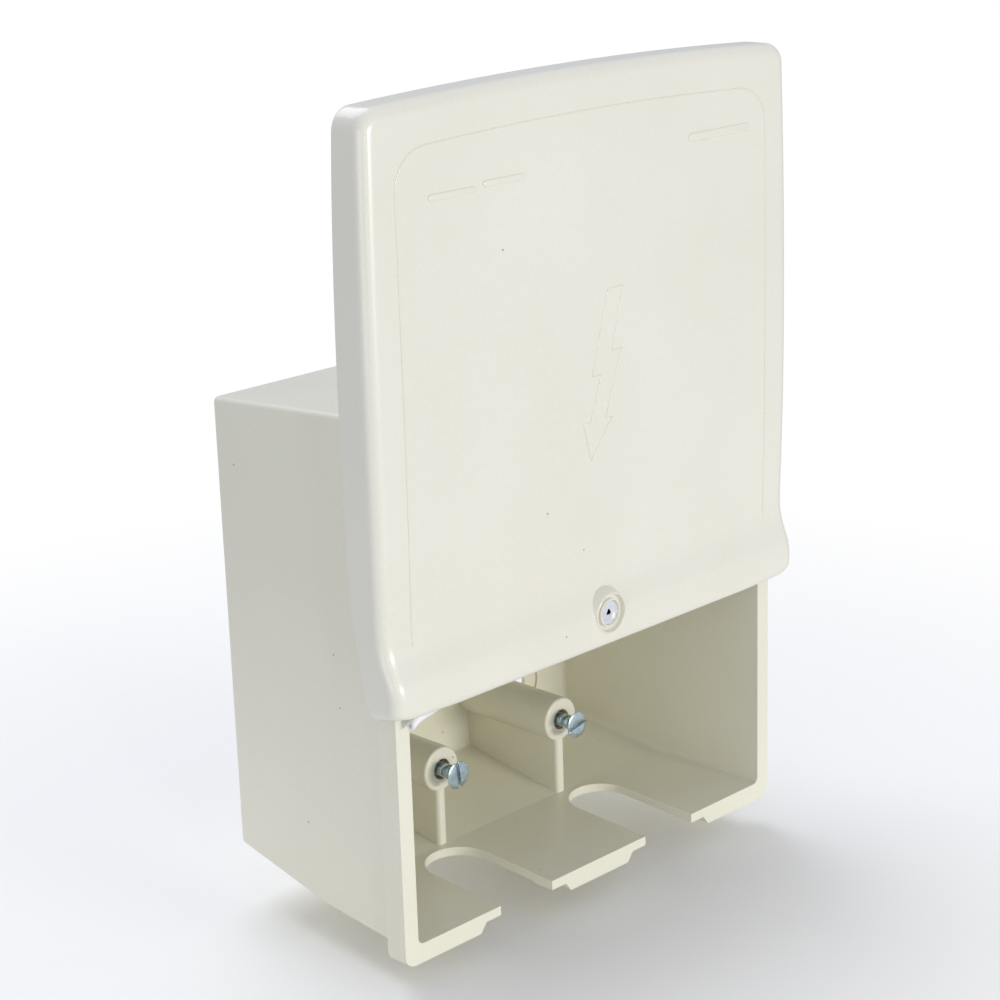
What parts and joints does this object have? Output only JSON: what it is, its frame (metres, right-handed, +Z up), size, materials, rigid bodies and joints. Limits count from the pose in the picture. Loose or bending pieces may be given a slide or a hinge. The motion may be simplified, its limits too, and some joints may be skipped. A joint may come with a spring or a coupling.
{
  "type": "wall-mounted service box",
  "caption": "Deep moulded wall box with a sliding front cover and key lock, open U-shaped cable entries in its floor and two screw pillars inside.",
  "frame": {"origin": "centre of the four wall-fixing holes, on the flat back face of the box", "axes": "+Z up, +Y into the wall, +X to the right as seen from the front"},
  "size_m": [0.2248, 0.1161, 0.3165],
  "materials": {
    "box_plastic": "satin",
    "cover_plastic": "gloss",
    "screw_zinc": "satin",
    "insert_brass": "satin",
    "lock_silver": "gloss",
    "lock_steel": "satin",
    "oring_rubber": "matte",
    "seal_foam": "matte"
  },
  "bodies": {
    "box": {"box_body": "box_plastic", "insert_left": "insert_brass", "insert_right": "insert_brass"},
    "cover": {"cover": "cover_plastic", "cover_seal": "seal_foam"},
    "lock": {"lock_barrel": "lock_silver", "lock_oring": "oring_rubber", "lock_cam": "lock_steel", "lock_clip": "lock_steel"},
    "screw_left": {"screw_left": "screw_zinc"},
    "screw_right": {"screw_right": "screw_zinc"}
  },
  "joints": [
    {"name": "cover_slide", "type": "slide", "parent": "box", "child": "cover", "axis": [0, 0, 1], "range_m": [-0.101, 0.09]},
    {"name": "lock_turn", "type": "hinge", "parent": "cover", "child": "lock", "pos_m": [0, -0.1115, 0.008], "axis": [0, 1, 0], "range_deg": [0, 90]},
    {"name": "screw_left_travel", "type": "slide", "parent": "box", "child": "screw_left", "axis": [0, -1, 0], "range_m": [-0.006, 0.012]},
    {"name": "screw_right_travel", "type": "slide", "parent": "box", "child": "screw_right", "axis": [0, -1, 0], "range_m": [-0.006, 0.012]}
  ]
}
